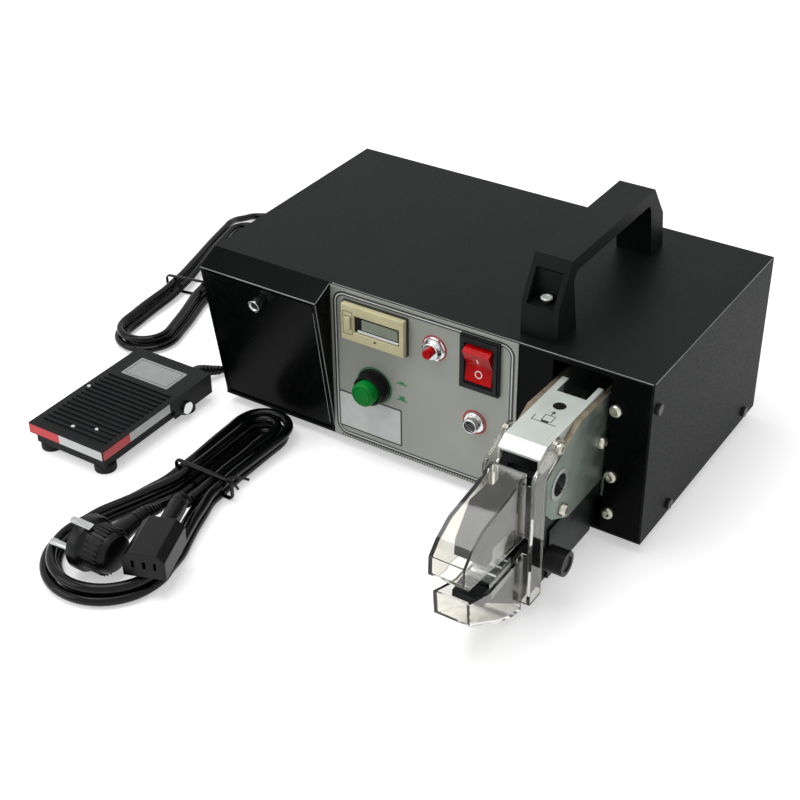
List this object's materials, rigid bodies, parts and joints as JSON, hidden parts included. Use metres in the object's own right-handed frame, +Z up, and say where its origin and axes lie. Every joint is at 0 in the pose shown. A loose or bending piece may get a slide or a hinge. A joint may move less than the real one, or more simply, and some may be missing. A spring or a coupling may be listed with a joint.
{
  "type": "terminal crimping machine",
  "caption": "Bench machine that crimps wire terminals between two powered jaws at its front, with a clear guard, a storage box, a carry handle, a foot pedal and a mains lead.",
  "frame": {"origin": "on the ground, under the middle of the sheet-metal case", "axes": "+X to the right seen from the front, -Y out of the front where the jaws are, +Z up"},
  "size_m": [0.4809, 0.4777, 0.173],
  "materials": {
    "case_black": "fine-textured powder coat, semi-matte",
    "panel_grey": "satin silver-grey plate",
    "door_black": "satin paint",
    "knob_chrome": "knurled, polished",
    "bright_steel": "bright zinc",
    "plate_steel": "blue-grey zinc",
    "handle_plastic": "dark satin plastic",
    "rubber_black": "matte",
    "inlet_plastic": "satin",
    "ivory_plastic": "semi-gloss",
    "black_plastic": "semi-gloss",
    "red_plastic": "gloss",
    "green_plastic": "gloss",
    "motor_steel": "satin",
    "gear_alloy": "cast",
    "spring_steel": "bright",
    "bronze": "machined",
    "board_green": "lacquered board",
    "oxide_steel": "black oxide",
    "guard_clear": "clear polycarbonate",
    "pedal_black": "satin",
    "cord_black": "glossy flexible plastic"
  },
  "bodies": {
    "case": {"base_tray": "case_black", "top_cover": "case_black", "front_panel": "case_black", "rear_panel": "case_black", "control_plate": "panel_grey", "storage_hood": "case_black", "door_hinge_pins": "bright_steel", "storage_box": "case_black", "carry_handle": "handle_plastic", "case_screws": "bright_steel", "feet": "rubber_black", "power_inlet": "inlet_plastic", "pedal_socket": "bright_steel", "counter_case": "ivory_plastic", "rocker_housing": "black_plastic", "button_collar": "black_plastic", "breaker_body": "bright_steel", "lamp_bezel": "bright_steel", "motor": "motor_steel", "gearbox": "gear_alloy", "drive_bracket": "motor_steel", "shaft_bushes": "bronze", "return_spring": "spring_steel", "circuit_board": "board_green", "head_plate_left": "plate_steel", "head_plate_right": "plate_steel", "head_body": "oxide_steel", "head_cover": "bright_steel", "jaw_pins": "bright_steel", "head_bolts": "bright_steel", "pedal_base": "pedal_black", "pedal_pin": "bright_steel", "pedal_feet": "rubber_black", "pedal_switch": "inlet_plastic", "pedal_cord_hank": "cord_black", "pedal_cord_lead": "cord_black", "pedal_cord_run": "cord_black", "pedal_cord_plug": "inlet_plastic", "mains_cord_hank": "cord_black", "plug_cord_end": "cord_black", "connector_cord_end": "cord_black", "mains_plug": "inlet_plastic", "mains_connector": "inlet_plastic", "cord_ties": "cord_black"},
    "door": {"storage_door": "door_black"},
    "door_knob": {"door_knob": "knob_chrome"},
    "rocker": {"rocker_cap": "red_plastic"},
    "button": {"push_button": "green_plastic"},
    "breaker": {"breaker_button": "red_plastic"},
    "key": {"counter_key": "ivory_plastic"},
    "cam": {"cam_shaft": "spring_steel"},
    "ram": {"ram": "spring_steel"},
    "upper_jaw": {"upper_jaw": "oxide_steel", "upper_die": "oxide_steel"},
    "lower_jaw": {"lower_jaw": "oxide_steel", "lower_die": "oxide_steel"},
    "guard": {"guard": "guard_clear"},
    "lock_knob": {"lock_knob": "black_plastic"},
    "treadle": {"pedal_treadle": "pedal_black"}
  },
  "joints": [
    {"name": "door_hinge", "type": "hinge", "parent": "case", "child": "door", "pos_m": [-0.1125, -0.08768, 0.01643], "axis": [1, 0, 0], "range_deg": [0, 65]},
    {"name": "knob_turn", "type": "hinge", "parent": "door", "child": "door_knob", "pos_m": [-0.112, -0.105, 0.10378], "axis": [0, -0.9869, -0.1613], "continuous": true},
    {"name": "rocker_tilt", "type": "hinge", "parent": "case", "child": "rocker", "pos_m": [0.0455, -0.09, 0.1005], "axis": [-1, 0, 0], "range_deg": [0, 20]},
    {"name": "button_press", "type": "slide", "parent": "case", "child": "button", "axis": [0, 1, 0], "range_m": [0, 0.0035], "stiffness_N_per_m": 400, "springref_m": -0.004},
    {"name": "breaker_press", "type": "slide", "parent": "case", "child": "breaker", "axis": [0, 1, 0], "range_m": [0, 0.002], "stiffness_N_per_m": 500, "springref_m": -0.003},
    {"name": "key_press", "type": "slide", "parent": "case", "child": "key", "axis": [0, 1, 0], "range_m": [0, 0.001], "stiffness_N_per_m": 500, "springref_m": -0.002},
    {"name": "cam_turn", "type": "hinge", "parent": "case", "child": "cam", "pos_m": [0.113, -0.03, 0.053], "axis": [1, 0, 0], "range_deg": [0, 300]},
    {"name": "ram_slide", "type": "slide", "parent": "case", "child": "ram", "axis": [0, -1, 0], "range_m": [0, 0.01042], "deforming": ["return_spring"]},
    {"name": "upper_jaw_pivot", "type": "hinge", "parent": "case", "child": "upper_jaw", "pos_m": [0.113, -0.1475, 0.079], "axis": [1, 0, 0], "range_deg": [0, 6]},
    {"name": "lower_jaw_pivot", "type": "hinge", "parent": "case", "child": "lower_jaw", "pos_m": [0.113, -0.1475, 0.027], "axis": [-1, 0, 0], "range_deg": [0, 6]},
    {"name": "guard_hinge", "type": "hinge", "parent": "case", "child": "guard", "pos_m": [0.113, -0.149, 0.1048], "axis": [-1, 0, 0], "range_deg": [0, 100]},
    {"name": "lock_turn", "type": "hinge", "parent": "case", "child": "lock_knob", "pos_m": [0.137, -0.1565, 0.0325], "axis": [1, 0, 0], "continuous": true},
    {"name": "treadle_tilt", "type": "hinge", "parent": "case", "child": "treadle", "pos_m": [-0.2022, -0.1225, 0.01], "axis": [1, 0, 0], "range_deg": [0, 4], "stiffness_Nm_per_rad": 3, "springref_deg": -5.73}
  ],
  "couplings": [
    {"joint": "ram_slide", "follows": "cam_turn", "m_per_rad": 0.0019905},
    {"joint": "upper_jaw_pivot", "follows": "cam_turn", "ratio": 0.02},
    {"joint": "lower_jaw_pivot", "follows": "cam_turn", "ratio": 0.02}
  ]
}
